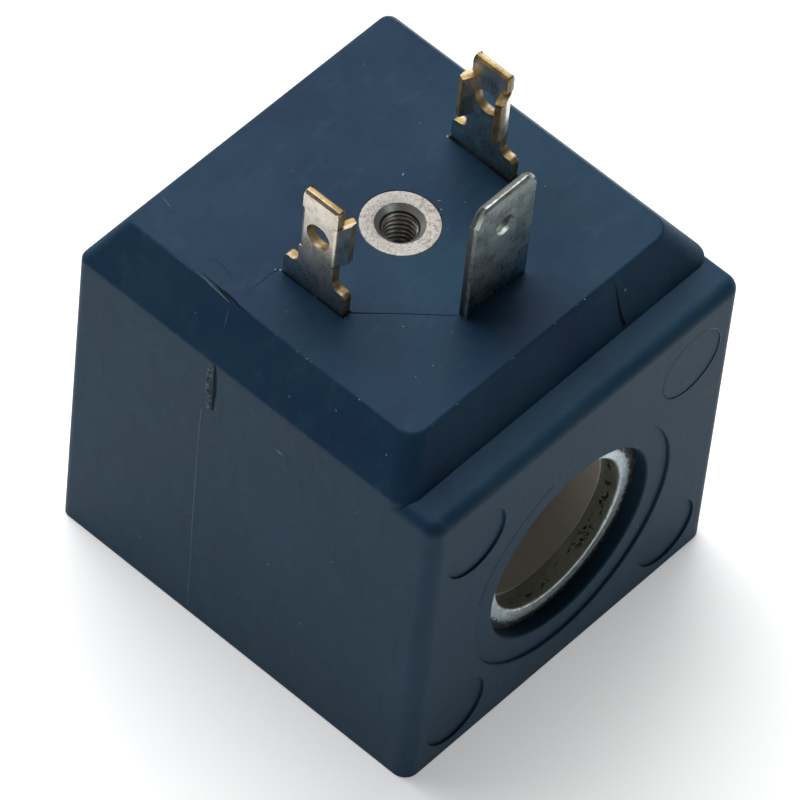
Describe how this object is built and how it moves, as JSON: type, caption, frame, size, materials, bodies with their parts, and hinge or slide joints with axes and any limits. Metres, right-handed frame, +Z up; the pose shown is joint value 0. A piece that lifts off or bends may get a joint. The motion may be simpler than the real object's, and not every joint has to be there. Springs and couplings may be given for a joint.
{
  "type": "solenoid valve coil",
  "caption": "Moulded coil for a solenoid valve: a bevelled block with a through bore for the armature tube, blade terminals and a threaded insert on top.",
  "frame": {"origin": "middle of the base, which is the side opposite the terminals", "axes": "+Z up towards the terminals, the bore along Y, the face with the round marks towards -Y"},
  "size_m": [0.0336, 0.0354, 0.0461],
  "materials": {
    "moulded_body": "satin",
    "bobbin_plastic": "matt",
    "carrier_plastic": "matt",
    "yoke_steel": "zinc plated",
    "insert_steel": "turned and plated",
    "earth_steel": "tin plated, satin",
    "washer_steel": "satin",
    "power_brass": "tinned faces and sheared brass edges",
    "winding_copper": "enamelled copper",
    "film_tape": "gloss film",
    "sleeve_plastic": "matt",
    "solder_metal": "bright solder"
  },
  "bodies": {
    "root": {"encapsulation": "moulded_body", "bobbin": "bobbin_plastic", "terminal_carrier": "carrier_plastic", "yoke_bracket": "yoke_steel", "yoke_keeper": "yoke_steel", "threaded_insert": "insert_steel", "contact_washer": "washer_steel", "earth_terminal": "earth_steel", "power_terminal_left": "power_brass", "power_terminal_right": "power_brass", "winding": "winding_copper", "core_tape": "film_tape", "winding_tape": "film_tape", "lead_strip": "film_tape", "start_lead": "winding_copper", "finish_lead": "winding_copper", "start_sleeve": "sleeve_plastic", "finish_sleeve": "sleeve_plastic", "solder_joint_left": "solder_metal", "solder_joint_right": "solder_metal"}
  },
  "joints": []
}
